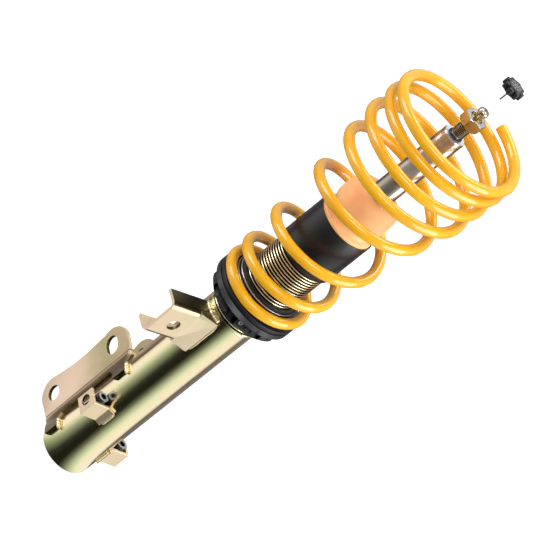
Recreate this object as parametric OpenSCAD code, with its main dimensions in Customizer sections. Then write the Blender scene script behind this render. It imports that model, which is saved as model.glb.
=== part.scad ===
// Front coilover strut: twin-tube damper, screwed spring perch, progressive
// coil spring and pressed brackets. All heights run along the strut from the
// closed bottom of the tube. The frame's origin is on the lower knuckle bolt.

/* [Strut tube] */
// Outer diameter of the tube below the thread
tube_d = 51; // [48:0.5:56]
// Wall of the tube below the thread
tube_wall = 4; // [3.5:0.25:5]
// Rounding of the closed bottom edge
tube_round = 3; // [1:0.5:3.5]
// Height of the tube's open top
tube_top = 331; // [326:1:340]
// Thickness of the closed bottom
tube_floor = 4; // [3:0.5:5]

/* [Threaded sleeve] */
// Diameter over the thread crests
sleeve_d = 52.4; // [52:0.1:54]
// Height where the sleeve starts
sleeve_start = 225; // [223:1:228]
// Length of the sleeve
sleeve_len = 98; // [92:1:102]
// Wall of the sleeve under the thread crests
sleeve_wall = 2.2; // [2:0.1:2.6]

/* [Knuckle arms] */
// Distance from the strut axis to the knuckle bolts
bolt_reach = 45; // [43:0.5:50]
// Height of the lower knuckle bolt above the tube's bottom
bolt_low_h = 17; // [15:0.5:22]
// Distance between the two knuckle bolts
bolt_pitch = 79.5; // [74:0.5:86]
// Diameter of the lower bolt hole
bolt_hole_d = 14.4; // [12:0.1:16]
// Length of the upper camber slot, end to end
slot_len = 18; // [16.5:0.5:22]
// Clear gap between the two arms
arm_gap = 31; // [27:0.5:34]
// Thickness of the pressed plate
arm_t = 3.5; // [2.5:0.25:4]
// Radius of the lower lobe
lobe_low_r = 16; // [14:0.5:18]
// Radius of the upper lobe
lobe_up_r = 18.5; // [16:0.5:20]
// Distance from the strut axis to the waist's outer edge
waist_reach = 57.2; // [54:0.2:59]
// Distance from the strut axis to the bend of the plate
bend_reach = 27.5; // [27:0.25:30]
// Height of each strap round the tube
strap_h = 15.5; // [12:0.5:18]
// Height of the lower strap's bottom edge
strap_low_z = 8; // [6:0.5:12]
// Height of the upper strap's bottom edge
strap_up_z = 99; // [94:0.5:104]

/* [Link bracket] */
// Direction of the bracket round the strut, in degrees
link_angle = -84; // [-90:1:-80]
// Height of the bracket's bottom edge
link_z = 179; // [165:1:181]
// Height of the channel
link_h = 41.5; // [38:0.5:43]
// Reach of the channel from the strut axis
link_reach = 69; // [64:0.5:74]
// Distance from the strut axis to the web's outer face
link_off = 10.5; // [9:0.25:12]
// Distance from the strut axis to the web's fold
link_fold = 37.5; // [35:0.5:40]
// Turn of the flared foot against the arm, in degrees
flare_turn = 22.5; // [20:0.5:24]
// Length of the flared foot
flare_len = 17; // [16.5:0.5:19]
// Depth of the channel's lips
link_depth = 18; // [14:0.5:20]
// Thickness of the bracket plate
link_t = 3; // [2.5:0.25:3.5]
// Bend radius on the outside
link_bend = 6; // [4:0.5:7]
// Height of the link bolt hole above the bracket's bottom edge
link_hole_h = 18.8; // [15:0.2:24]
// Diameter of the link bolt hole
link_hole_d = 12.2; // [10:0.1:14]
// Distance from the strut axis to the link bolt hole
link_hole_reach = 50.7; // [46:0.5:54]

/* [Hose brackets] */
// Height of the front bracket's bottom edge
hose_front_z = 64; // [60:1:70]
// Height of the rear bracket's bottom edge
hose_rear_z = 20; // [19:1:30]
// Height of each bracket
hose_h = 19; // [17:0.5:21]
// Plate thickness of each bracket
hose_t = 2.5; // [2:0.25:3]
// Distance from the strut's middle plane to the bracket's outer face
hose_reach = 39; // [38:0.5:42]
// Distance along X from the strut axis to the welded leg's outer face
hose_leg_x = 17.4; // [16.5:0.2:18.5]
// Length of the free leg
hose_leg_len = 17; // [15:0.5:18]
// Diameter of the hole in the free leg
hose_hole_d = 10; // [8:0.5:11]
// Height of each grommet above its bracket's bottom edge
grommet_top = 23.5; // [21:0.5:25]

/* [Spring perch] */
// Outer diameter of the collar's flange and of the spring seat
perch_d = 84.4; // [80:0.2:88]
// Diameter of the collar's notched body
collar_d = 77.6; // [74:0.2:79]
// Diameter of the collar's lower face, inside the chamfer
collar_face_d = 70; // [66:0.5:73]
// Height of the collar's lower face
collar_z = 236.5; // [236:0.5:240]
// Height of the collar, lower face to upper face
collar_h = 17.5; // [16:0.5:19]
// Height of the collar's flange
flange_h = 5.5; // [4:0.5:7]
// Number of spanner notches
notch_count = 9; // [6:1:10]
// Width of a spanner notch
notch_w = 10.5; // [6:0.5:12]
// Depth of a spanner notch
notch_depth = 3.5; // [2.5:0.25:5]
// Thickness of the slip washer between collar and seat
washer_t = 0.8; // [0.6:0.1:1.5]
// Thickness of the spring seat's plate
seat_t = 3.7; // [3:0.1:5]
// Height of the hub inside the coil
hub_h = 12; // [9:0.5:14]
// Diameter of the hub
hub_d = 65.4; // [63:0.2:66.4]
// Lead of the thread that carries the collar
thread_lead = 3; // [2:0.25:3.5]
// Diameter of the set screw
set_screw_d = 4.8; // [4:0.2:6]

/* [Coil spring] */
// Diameter of the wire
wire_d = 9.8; // [9:0.1:10.2]
// Clearance between the wire and the seat's hub
coil_hub_gap = 1; // [0.6:0.1:1.6]
// Centre radius of the wide top turns
coil_top_r = 59.4; // [56:0.2:61]
// Turns over which the coil grows to its full width
grow_turns = 4.15; // [3.5:0.05:4.5]
// Part of a turn that lies flat on the seat
seat_turns = 0.5; // [0.4:0.05:0.5]
// Rise of the first turn above the seat
rise_1 = 27.7; // [26:0.1:32]
// Rise of the second turn
rise_2 = 42.1; // [34:0.1:46]
// Rise of the third turn
rise_3 = 58.7; // [48:0.1:62]
// Rise of the fourth turn
rise_4 = 38.7; // [30:0.1:44]
// Rise of the fifth turn
rise_5 = 25.8; // [20:0.1:30]
// Rise of the sixth turn
rise_6 = 21.6; // [16:0.1:24]
// Rise of the seventh turn
rise_7 = 14.1; // [12:0.1:18]
// Turns above the seat, end to end
live_turns = 7.45; // [7.2:0.05:7.5]

/* [Dust tube and bump stop] */
// Outer diameter of the dust tube
dust_d = 56.8; // [56.4:0.1:58]
// Wall of the dust tube
dust_wall = 1.2; // [0.8:0.1:1.4]
// Height of the dust tube's lower edge
dust_z = 314; // [312:0.5:318]
// Length of the dust tube
dust_len = 49.5; // [45:0.5:54]
// Height of the bump stop's flange above the dust tube's mouth
stop_flange_h = 3; // [1:0.5:5]
// Radius of the stop's neck
stop_neck_r = 22.5; // [20:0.25:24]
// Radius of the stop's main lobe
stop_lobe_r = 26.3; // [24.5:0.1:27]
// Height of the stop's top face
stop_top = 401; // [396:0.5:405]

/* [Piston rod] */
// Diameter of the rod
rod_d = 22; // [20:0.5:24]
// Height of the rod's shoulder
rod_shoulder = 488.5; // [484:0.5:495]
// Diameter of the stud
stud_d = 12; // [11:0.5:13]
// Height of the stud above the shoulder, nut included
stud_len = 25; // [24:0.5:28]
// Diameter of the rounded head at the rod's tip
tip_d = 9.8; // [9:0.2:10.4]
// Diameter of the neck between stud and tip
tip_neck_d = 7.8; // [7.4:0.2:8.6]
// Height of the tip's head
tip_head_h = 4.5; // [3:0.5:6]
// Length of the tip
tip_len = 9.5; // [8:0.5:12]
// Width of the top nut across its flats
nut_af = 19; // [18:0.5:21]
// Height of the top nut
nut_h = 10; // [8:0.5:11]
// Diameter of the adjuster needle
needle_d = 5.2; // [4.5:0.1:5.6]

/* [Rebound knob] */
// Diameter over the knob's lobes
knob_d = 20; // [18:0.5:22]
// Height of the knob
knob_h = 7.5; // [6:0.5:9]
// Number of lobes
knob_lobes = 8; // [6:1:9]
// Depth of the hollows between the lobes
knob_hollow = 2.6; // [1.6:0.2:3]
// Gap between the rod's tip and the knob as it is held off
knob_lift = 26.8; // [24:0.1:30]
// Diameter of the pin under the knob
pin_d = 1.6; // [1.2:0.1:1.8]
// Length of the pin below the knob
pin_len = 11; // [9:0.5:12]

/* [Damper inside] */
// Bore of the pressure tube
bore_d = 32; // [30:0.5:33]
// Wall of the pressure tube
bore_wall = 2; // [1.5:0.1:2.4]
// Height of the rod guide's underside, where the rebound stop meets it
guide_z = 298; // [294:1:300]
// Distance from the guide to the piston with the rod fully out
piston_drop = 34; // [30:1:60]
// Height of the piston
piston_h = 16; // [13:0.5:18]
// Height of the rod guide
guide_h = 18; // [16:0.5:20]
// Height of the rod seal
seal_h = 6; // [4:0.5:8]
// Height of the base valve's foot, under the pressure tube
foot_h = 8; // [6:0.5:10]

/* [Hidden] */

$fn = 96;
e = 0.05;              // overshoot of a cutting shape
fixed_gap = 0.05;      // gap between round pieces that don't move
running_gap = 0.05;    // radial gap of a shaft in its bush or seal
free_gap = 0.3;        // gap between pieces that move past each other

zinc = [0.88, 0.80, 0.60];
black = [0.12, 0.12, 0.13];
steel = [0.72, 0.72, 0.74];
yellow = [0.95, 0.69, 0.13];
foam = [0.98, 0.70, 0.49];
rubber = [0.16, 0.16, 0.18];
bronze = [0.66, 0.54, 0.32];

tube_r = tube_d / 2;
tube_bore_r = tube_r - tube_wall;
sleeve_r = sleeve_d / 2;
sleeve_bore_r = sleeve_r - sleeve_wall;
neck_r = sleeve_bore_r - fixed_gap;
rod_r = rod_d / 2;
bolt_up_h = bolt_low_h + bolt_pitch;
arm_in = arm_gap / 2;
arm_out = arm_in + arm_t;
weld_r = tube_r + fixed_gap;
strap_r = weld_r + arm_t;
bore_r = bore_d / 2;
bore_out_r = bore_r + bore_wall;
collar_top = collar_z + collar_h;
flange_z = collar_top - flange_h;
washer_z = collar_top + fixed_gap;
seat_z = washer_z + washer_t;
seat_top = seat_z + seat_t;
dust_r = dust_d / 2;
dust_in = dust_r - dust_wall;
dust_top = dust_z + dust_len;
stud_r = stud_d / 2;
tip_r = tip_d / 2;
stud_top = rod_shoulder + stud_len;
rod_top = stud_top + tip_len;
nut_z = stud_top - nut_h;
nut_turn = 6;
needle_r = needle_d / 2;
knob_z = rod_top + knob_lift;

// Places a piece of the strut: the axis stands bolt_reach from the origin.
module on_strut() translate([bolt_reach, 0, -bolt_low_h]) children();

// A ring sector between two radii and two angles, drawn as a flat outline.
module sector(r_in, r_out, from, to) {
    far = 3 * r_out;
    mid = (from + to) / 2;
    intersection() {
        difference() {
            circle(r_out);
            circle(r_in);
        }
        polygon([[0, 0], far * [cos(from), sin(from)],
            far * [cos(mid), sin(mid)], far * [cos(to), sin(to)]]);
    }
}

// A tube between two heights.
module ring(r_in, r_out, low, high) {
    translate([0, 0, low]) difference() {
        cylinder(r = r_out, h = high - low);
        translate([0, 0, -e]) cylinder(r = r_in, h = high - low + 2 * e);
    }
}

// ---------------------------------------------------------------- housing

module strut_tube() {
    color(zinc) on_strut() difference() {
        union() {
            translate([0, 0, tube_round])
                cylinder(r = tube_r, h = sleeve_start - tube_round);
            cylinder(r = tube_r - tube_round, h = tube_round + e);
            rotate_extrude() translate([tube_r - tube_round, tube_round])
                circle(tube_round);
            translate([0, 0, sleeve_start - e])
                cylinder(r = neck_r, h = tube_top - sleeve_start + e);
        }
        translate([0, 0, tube_floor]) cylinder(r = tube_bore_r, h = tube_top);
    }
}

module threaded_sleeve() {
    top = sleeve_start + sleeve_len;
    edge = 1.2;
    color(zinc) on_strut() difference() {
        union() {
            translate([0, 0, sleeve_start])
                cylinder(r = sleeve_r, h = sleeve_len - edge);
            translate([0, 0, top - edge])
                cylinder(r1 = sleeve_r, r2 = sleeve_r - edge, h = edge);
        }
        translate([0, 0, sleeve_start - e])
            cylinder(r = sleeve_bore_r, h = sleeve_len + 2 * e);
    }
}

// ---------------------------------------------------------- knuckle bracket

bend_far = sqrt(bend_reach * bend_reach + arm_out * arm_out);
tangent_a = -180 + atan2(arm_out, bend_reach) + acos(strap_r / bend_far);
strap_end_a = -82.4;
web_u = [cos(tangent_a), sin(tangent_a)];
web_d = [sin(tangent_a), -cos(tangent_a)];
web_in_len = (-arm_in - weld_r * web_u[1]) / web_d[1];
lobe_up_c = [-bolt_reach + 2.5, bolt_up_h + 1.5];
strap_low_top = strap_low_z + strap_h;
strap_up_top = strap_up_z + strap_h;

// The pressed plate seen from above: flat arm, slanting web, strap.
module arm_plan() {
    far = bolt_reach + 2 * lobe_up_r;
    translate([-far, -arm_out]) square([far - bend_reach, arm_t]);
    polygon([[-bend_reach, -arm_out], strap_r * web_u, weld_r * web_u,
        weld_r * web_u + web_in_len * web_d, [-bend_reach, -arm_in]]);
    sector(weld_r, strap_r, tangent_a - 0.5, strap_end_a);
}

// The same plate seen from the side.
module arm_side() {
    web_x = strap_r * web_u[0];
    far = tube_r / 2;
    difference() {
        union() {
            translate([-bolt_reach, bolt_low_h]) circle(lobe_low_r);
            translate(lobe_up_c) circle(lobe_up_r);
            polygon([[-bolt_reach, bolt_low_h - lobe_low_r], [-bend_reach, 2.5],
                [web_x - 2, strap_low_z], [web_x - 2, strap_low_top + 4.5],
                [web_x - 4, strap_low_top + 11], [web_x - 4, strap_up_z - 11],
                [web_x - 2, strap_up_z - 4.5], [web_x - 2, strap_up_top],
                [-bend_reach, lobe_up_c[1] + lobe_up_r], [lobe_up_c[0], lobe_up_c[1] + lobe_up_r],
                lobe_up_c + lobe_up_r * [cos(205), sin(205)],
                [-waist_reach, (bolt_low_h + bolt_up_h) / 2 + 6],
                [-waist_reach, (bolt_low_h + bolt_up_h) / 2 - 8],
                [-bolt_reach, bolt_low_h] + lobe_low_r * [cos(160), sin(160)]]);
            translate([web_x - 2.1, strap_low_z]) square([far, strap_h]);
            translate([web_x - 2.1, strap_up_z]) square([far, strap_h]);
            polygon([[web_x - 2.1, strap_low_z], [web_x + 5, strap_low_z],
                [web_x + 5, strap_low_top], [web_x - 2.1, strap_low_top + 4.5]]);
            polygon([[web_x - 2.1, strap_up_z - 4.5], [web_x + 5, strap_up_z],
                [web_x + 5, strap_up_top], [web_x - 2.1, strap_up_top]]);
        }
        translate([-bolt_reach, bolt_low_h]) circle(bolt_hole_d / 2);
        for (side = [-1, 1])
            translate([-bolt_reach + side * (slot_len - bolt_hole_d) / 2, bolt_up_h])
                circle(bolt_hole_d / 2);
        translate([-bolt_reach - (slot_len - bolt_hole_d) / 2, bolt_up_h - bolt_hole_d / 2])
            square([slot_len - bolt_hole_d, bolt_hole_d]);
    }
}

module knuckle_arm() {
    intersection() {
        translate([0, 0, -1]) linear_extrude(strap_up_top + 10) arm_plan();
        translate([0, tube_r, 0]) rotate([90, 0, 0])
            linear_extrude(4 * tube_r) arm_side();
    }
}

module knuckle_arm_front() color(zinc) on_strut() knuckle_arm();

module knuckle_arm_rear() color(zinc) on_strut() mirror([0, 1, 0]) knuckle_arm();

// The plate welded between the two arms, just behind the tube.
module knuckle_brace() {
    brace_t = 3;
    low = 12;
    color(zinc) on_strut() translate([-bend_reach - brace_t - 1, -arm_in, low])
        cube([brace_t, arm_gap, bolt_up_h + 14 - low]);
}

// ------------------------------------------------------ brackets on the tube

// The channel's section: web at the outer face, lips at top and bottom.
module channel_outline(inset, bend) {
    wide = link_off - inset;
    tall = link_h - inset;
    back = link_off - link_depth;
    translate([back, inset]) square([wide - bend - back, tall - inset]);
    translate([wide - bend - e, inset + bend])
        square([bend + e, tall - inset - 2 * bend]);
    for (h = [inset + bend, tall - bend])
        translate([wide - bend, h]) circle(bend);
}

// The web's end turns towards the tube's side, between two wider lips.
module link_foot() {
    along = [-cos(flare_turn), sin(flare_turn)];
    inward = [-sin(flare_turn), -cos(flare_turn)];
    near = [link_fold, link_off] + 0.1 * inward;
    far = near + flare_len * along;
    edge = 0.4;
    translate([0, 0, edge]) linear_extrude(link_h - 2 * edge)
        polygon([near, far, far + link_t * inward, near + link_t * inward]);
    for (low = [edge / 2, link_h - link_t + edge / 2])
        translate([0, 0, low]) linear_extrude(link_t - edge)
            polygon([near + edge * inward, far + edge * inward, [0, 0],
                [link_fold, link_off - link_bend - edge]]);
}

module link_bracket() {
    start = tube_r - 6;
    inner_h = link_h - 2 * link_t;
    color(zinc) on_strut() rotate([0, 0, link_angle]) translate([0, 0, link_z])
        difference() {
            union() {
                difference() {
                    translate([start, 0, 0]) rotate([90, 0, 90])
                        linear_extrude(link_reach - start) channel_outline(0, link_bend);
                    translate([start - e, 0, 0]) rotate([90, 0, 90])
                        linear_extrude(link_reach) channel_outline(link_t, link_bend - link_t);
                    translate([start - e, link_off - link_depth - e, link_t])
                        cube([link_reach, link_depth / 2, inner_h]);
                    translate([start - e, link_off - link_t - e, link_t])
                        cube([link_fold - link_t - start, link_t + 1, inner_h]);
                }
                link_foot();
            }
            translate([0, 0, -e]) cylinder(r = weld_r, h = link_h + 2 * e);
            translate([link_hole_reach, link_off + e, link_hole_h])
                rotate([90, 0, 0]) cylinder(d = link_hole_d, h = link_t + 2 * e);
        }
}

// A folded angle: one leg welded to the tube, the free leg holds the hose.
module hose_bracket(low) {
    leg_in = hose_leg_x - hose_t;
    foot_a = -acos(hose_leg_x / (weld_r + hose_t));
    translate([0, 0, low]) difference() {
        linear_extrude(hose_h) {
            difference() {
                translate([leg_in, -hose_reach]) square([hose_t, hose_reach - 15]);
                circle(weld_r);
            }
            translate([hose_leg_x - hose_leg_len, -hose_reach])
                square([hose_leg_len, hose_t]);
            sector(weld_r, weld_r + hose_t, foot_a - 1, foot_a + 12);
        }
        translate([hose_leg_x - hose_leg_len / 2 - hose_t / 2, -hose_reach - e, hose_h / 2])
            rotate([-90, 0, 0]) cylinder(d = hose_hole_d, h = hose_t + 2 * e);
    }
}

module hose_bracket_front() color(zinc) on_strut() hose_bracket(hose_front_z);

module hose_bracket_rear()
    color(zinc) on_strut() mirror([0, 1, 0]) hose_bracket(hose_rear_z);

// A rubber plug that fills the pocket between the angle and the tube.
module hose_grommet(low) {
    r = (hose_reach - hose_t - tube_r) / 2;
    x = hose_leg_x - hose_t - r - 0.1;
    y = -sqrt(pow(weld_r + r + 0.2, 2) - x * x);
    translate([x, y, low - 1]) difference() {
        cylinder(r = r, h = grommet_top);
        translate([0, 0, -e]) cylinder(r = r / 2, h = grommet_top + 2 * e);
    }
}

module hose_grommet_front() color(rubber) on_strut() hose_grommet(hose_front_z);

module hose_grommet_rear()
    color(rubber) on_strut() mirror([0, 1, 0]) hose_grommet(hose_rear_z);

// ------------------------------------------------------------- spring perch

set_screw_a = -30;
notch_turn = -84;
collar_bore_r = sleeve_r + running_gap;

module adjuster_collar() {
    edge = (collar_d - collar_face_d) / 2;
    screw_z = (collar_z + edge + flange_z) / 2;
    color(black) on_strut() difference() {
        union() {
            translate([0, 0, collar_z])
                cylinder(d1 = collar_face_d, d2 = collar_d, h = edge);
            translate([0, 0, collar_z + edge])
                cylinder(d = collar_d, h = flange_z - collar_z - edge + e);
            translate([0, 0, flange_z]) cylinder(d = perch_d, h = flange_h);
        }
        translate([0, 0, collar_z - e]) cylinder(r = collar_bore_r, h = collar_h + 2 * e);
        for (i = [0 : notch_count - 1])
            rotate([0, 0, notch_turn + i * 360 / notch_count])
                translate([collar_d / 2 - notch_depth, -notch_w / 2, collar_z - e])
                    cube([notch_depth + 5, notch_w, flange_z - collar_z + e]);
        rotate([0, 0, set_screw_a]) translate([collar_bore_r - 1, 0, screw_z])
            rotate([0, 90, 0])
                cylinder(r = set_screw_d / 2 + fixed_gap, h = collar_d);
    }
}

module collar_set_screw() {
    edge = (collar_d - collar_face_d) / 2;
    screw_z = (collar_z + edge + flange_z) / 2;
    first = collar_bore_r + free_gap;
    color(steel) on_strut() rotate([0, 0, set_screw_a])
        translate([first, 0, screw_z]) rotate([0, 90, 0]) difference() {
            cylinder(d = set_screw_d, h = collar_d / 2 - 0.6 - first);
            translate([0, 0, collar_d / 2 - 3.2 - first])
                cylinder(d = set_screw_d / 2, h = 4, $fn = 6);
        }
}

hub_ribs = 4;
hub_groove = 1.2;
hub_pitch = hub_h / (hub_ribs + 0.3);

module slip_washer() {
    color(steel) on_strut()
        ring(sleeve_r + free_gap, perch_d / 2 - 1.6, washer_z, washer_z + washer_t);
}

module spring_seat() {
    color(black) on_strut() {
        ring(sleeve_r + free_gap, perch_d / 2, seat_z, seat_top);
        ring(sleeve_r + free_gap, hub_d / 2 - 2 * hub_groove, seat_top - e, seat_top + hub_h);
        for (i = [0 : hub_ribs - 1])
            ring(sleeve_r + free_gap, hub_d / 2 - (i == hub_ribs - 1 ? hub_groove : 0),
                seat_top - e + i * hub_pitch, seat_top + i * hub_pitch + hub_pitch * 0.55);
    }
}

// --------------------------------------------------------------- coil spring

rises = [rise_1, rise_2, rise_3, rise_4, rise_5, rise_6, rise_7, rise_7];
ring_steps = 40;
wire_sides = 8;
wire_r = wire_d / 2;
coil_z = seat_top + wire_r + 0.02;
coil_low_r = hub_d / 2 + coil_hub_gap + wire_r;
start_rate = 20;

function level(k) = k <= 0 ? 0 : rises[k - 1] + level(k - 1);
function rate(k) = k <= 0 ? start_rate : (rises[k - 1] + rises[min(k, 7)]) / 2;
// Height of the wire's centre after u turns, a smooth curve through the rises.
function coil_h(u) = u <= 0 ? 0 :
    let (k = floor(u), t = u - k)
    level(k) + rises[k] * t * t * (3 - 2 * t)
        + rate(k) * t * (1 - t) * (1 - t) - rate(k + 1) * t * t * (1 - t);
function coil_r(u) = u <= 0 ? coil_low_r :
    coil_low_r + (coil_top_r - coil_low_r) * min(1, pow(u / grow_turns, 1.5));
function coil_c(u) =
    [coil_r(u) * cos(360 * u - 45), coil_r(u) * sin(360 * u - 45), coil_z + coil_h(u)];
function coil_lead(u) =
    atan2(coil_h(u + 0.01) - coil_h(u - 0.01), 0.02 * 2 * PI * coil_r(u));
function wire_point(u, j) =
    let (a = 360 * u - 45, b = 360 * j / wire_sides, lead = coil_lead(u))
    coil_c(u) + wire_r * (cos(b) * [cos(a), sin(a), 0]
        + sin(b) * [sin(a) * sin(lead), -cos(a) * sin(lead), cos(lead)]);

coil_rings = round((seat_turns + live_turns) * ring_steps);
coil_us = [for (i = [0 : coil_rings]) -seat_turns + i * (seat_turns + live_turns) / coil_rings];

module coil_spring() {
    points = [for (u = coil_us) for (j = [0 : wire_sides - 1]) wire_point(u, j)];
    last = coil_rings * wire_sides;
    sides = [for (i = [0 : coil_rings - 1]) for (j = [0 : wire_sides - 1])
        let (a = i * wire_sides + j, b = i * wire_sides + (j + 1) % wire_sides)
        each [[a, b, a + wire_sides], [b, b + wire_sides, a + wire_sides]]];
    ends = [for (j = [1 : wire_sides - 2])
        each [[0, j + 1, j], [last, last + j, last + j + 1]]];
    color(yellow) on_strut() polyhedron(points, concat(sides, ends), convexity = 12);
}

// Least gap between neighbouring turns, from centre to centre less the wire.
coil_cs = [for (u = coil_us) coil_c(u)];
near = round(ring_steps * 0.6);
coil_gaps = [for (i = [0 : coil_rings - near])
    for (j = [i + near : min(i + 2 * near, coil_rings)]) norm(coil_cs[i] - coil_cs[j])];
echo(least_coil_gap_mm = min(coil_gaps) - wire_d);

// ------------------------------------------------- dust tube and bump stop

module dust_tube() {
    color(black) on_strut() ring(dust_in, dust_r, dust_z, dust_top);
}

// One foam buffer: a plug in the dust tube, a flange on its mouth, one lobe.
module bump_stop() {
    plug_r = dust_in - fixed_gap;
    plug_z = tube_top + 1;
    flange_z = dust_top + stop_flange_h;
    lobe_z = flange_z + 0.4 * (stop_top - flange_z);
    shoulder = 5;
    color(foam) on_strut() difference() {
        rotate_extrude() {
            translate([0, plug_z]) square([plug_r - 4, dust_top - plug_z]);
            translate([0, plug_z + 12]) square([plug_r, dust_top - plug_z - 12]);
            translate([0, dust_top + fixed_gap]) square([dust_r - 1.5, stop_flange_h]);
            translate([0, dust_top - e]) square([plug_r, 1]);
            polygon([[0, flange_z - 1], [dust_r - 3, flange_z - 1],
                [stop_neck_r, flange_z + 2.5], [stop_neck_r, flange_z + 4],
                [stop_lobe_r - 1.2, lobe_z - 4], [stop_lobe_r, lobe_z],
                [stop_lobe_r, lobe_z + 3], [stop_lobe_r - 1, stop_top - shoulder],
                [0, stop_top - shoulder]]);
            translate([0, stop_top - shoulder - e])
                square([stop_lobe_r - 1 - shoulder, shoulder + e]);
            translate([stop_lobe_r - 1 - shoulder, stop_top - shoulder])
                circle(shoulder);
        }
        translate([0, 0, plug_z - e]) cylinder(r = rod_r + free_gap, h = stop_top);
    }
}

// ------------------------------------------------------- rod, nut and needle

piston_top = guide_z - piston_drop;
piston_z = piston_top - piston_h;
stem_r = 6;
stem_z = piston_z - 12;
needle_bore_r = needle_r + running_gap;

module piston_rod() {
    groove = 1.6;
    edge = 1;
    color(steel) on_strut() difference() {
        union() {
            translate([0, 0, stem_z])
                cylinder(r = stem_r, h = piston_top - stem_z + e);
            translate([0, 0, piston_top])
                cylinder(r = rod_r, h = rod_shoulder - piston_top - edge);
            translate([0, 0, rod_shoulder - edge])
                cylinder(r1 = rod_r, r2 = rod_r - edge, h = edge);
            translate([0, 0, rod_shoulder - e])
                cylinder(r = stud_r - 0.9, h = groove + 2 * e);
            translate([0, 0, rod_shoulder + groove])
                cylinder(r = stud_r, h = stud_len - groove);
            translate([0, 0, stud_top - e])
                cylinder(r = tip_neck_d / 2, h = tip_len - tip_head_h + 2 * e);
            translate([0, 0, rod_top - tip_head_h])
                cylinder(r = tip_r, h = tip_head_h - edge);
            translate([0, 0, rod_top - edge])
                cylinder(r1 = tip_r, r2 = tip_r - edge, h = edge);
        }
        translate([0, 0, stem_z - e])
            cylinder(r = needle_bore_r, h = rod_top - stem_z + 2 * e);
    }
}

module top_nut() {
    hex_r = nut_af / 2 / cos(30);
    edge = 1.4;
    color(bronze) on_strut() translate([0, 0, nut_z]) difference() {
        intersection() {
            rotate([0, 0, nut_turn]) cylinder(r = hex_r, h = nut_h, $fn = 6);
            union() {
                cylinder(r1 = hex_r - edge, r2 = hex_r + 0.1, h = edge);
                translate([0, 0, edge])
                    cylinder(r = hex_r + 0.1, h = nut_h - 2 * edge);
                translate([0, 0, nut_h - edge])
                    cylinder(r1 = hex_r + 0.1, r2 = hex_r - edge, h = edge);
            }
        }
        translate([0, 0, -e]) cylinder(r = stud_r + fixed_gap, h = nut_h + 2 * e);
    }
}

module rebound_stop() {
    stop_h = 9;
    color(steel) on_strut()
        ring(rod_r + fixed_gap, bore_r - 0.8, guide_z - free_gap - stop_h, guide_z - free_gap);
}

module adjuster_needle() {
    taper = 8;
    low = stem_z - 6;
    top = rod_top - 1.5;
    pin_seat = pin_len + 1;
    color(steel) on_strut() difference() {
        union() {
            translate([0, 0, low]) cylinder(r1 = 0.8, r2 = needle_r, h = taper);
            translate([0, 0, low + taper]) cylinder(r = needle_r, h = top - low - taper);
        }
        translate([0, 0, top - pin_seat])
            cylinder(r = pin_d / 2 + free_gap / 2, h = pin_seat + e, $fn = 6);
    }
}

// ------------------------------------------------------------- rebound knob

knob_core_r = knob_d / 2 - knob_hollow;
lobe_r = 2.3;
knob_edge = 0.8;
dial_r = knob_core_r - 1.2;
dial_t = 1;

module knob() {
    color(black) on_strut() translate([0, 0, knob_z]) difference() {
        union() {
            cylinder(r = knob_core_r, h = knob_h);
            for (i = [0 : knob_lobes - 1])
                rotate([0, 0, i * 360 / knob_lobes])
                    translate([knob_d / 2 - lobe_r, 0, knob_edge])
                        cylinder(r = lobe_r, h = knob_h - 2 * knob_edge);
        }
        translate([0, 0, knob_h - dial_t])
            cylinder(r = dial_r + fixed_gap, h = dial_t + e);
        translate([0, 0, -e])
            cylinder(r = pin_d / 2 + fixed_gap, h = knob_h - dial_t - 1, $fn = 6);
    }
}

module knob_dial() {
    color(steel) on_strut() translate([0, 0, knob_z + knob_h - dial_t])
        cylinder(r = dial_r, h = dial_t);
}

module knob_pin() {
    held = knob_h - dial_t - 2;
    color(steel) on_strut() translate([0, 0, knob_z - pin_len])
        cylinder(r = pin_d / 2, h = pin_len + held, $fn = 6);
}

// ------------------------------------------------------------ damper inside

spigot_h = 6;
guide_top = guide_z + guide_h;
seal_top = guide_top + seal_h;
foot_z = tube_floor + foot_h;
port_r = 1.6;
base_plug_h = 8;
inner_r = tube_bore_r - fixed_gap;
spigot_r = bore_r - fixed_gap;

module pressure_tube() {
    color(steel) on_strut() ring(bore_r, bore_out_r, foot_z, guide_z + spigot_h);
}

// The valve at the tube's foot: a body on four feet with a ring of ports.
module base_valve() {
    color(steel) on_strut() difference() {
        union() {
            translate([0, 0, tube_floor]) cylinder(r = bore_out_r + 1, h = foot_z - tube_floor);
            translate([0, 0, foot_z - e]) cylinder(r = spigot_r, h = base_plug_h + e);
        }
        translate([0, 0, tube_floor - e]) cylinder(r = bore_r - 4, h = 4);
        for (i = [0 : 3]) rotate([0, 0, i * 90])
            translate([0, -4, tube_floor - e]) cube([bore_out_r + 2, 8, 3]);
        for (i = [0 : 7]) rotate([0, 0, i * 45])
            translate([bore_r - 6, 0, tube_floor])
                cylinder(r = port_r, h = foot_h + base_plug_h + e);
    }
}

module base_shims() {
    color(steel) on_strut() translate([0, 0, foot_z + base_plug_h]) {
        cylinder(r = bore_r - 3, h = 0.6);
        translate([0, 0, 0.6]) cylinder(r = bore_r - 5, h = 0.6);
        translate([0, 0, 1.2]) cylinder(r = 4, h = 3);
    }
}

module rod_guide() {
    bush_r = rod_r + 1.6;
    color(steel) on_strut() difference() {
        union() {
            translate([0, 0, guide_z]) cylinder(r = spigot_r, h = spigot_h + e);
            translate([0, 0, guide_z + spigot_h])
                cylinder(r = inner_r, h = guide_top - guide_z - spigot_h);
        }
        translate([0, 0, guide_z - e]) cylinder(r = bush_r, h = guide_top - guide_z + 2 * e);
    }
}

module guide_bush() {
    color(bronze) on_strut()
        ring(rod_r + running_gap, rod_r + 1.6 - fixed_gap, guide_z + 1, guide_top - 1);
}

module rod_seal() {
    color(rubber) on_strut() ring(rod_r + running_gap, inner_r, guide_top, seal_top);
}

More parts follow.
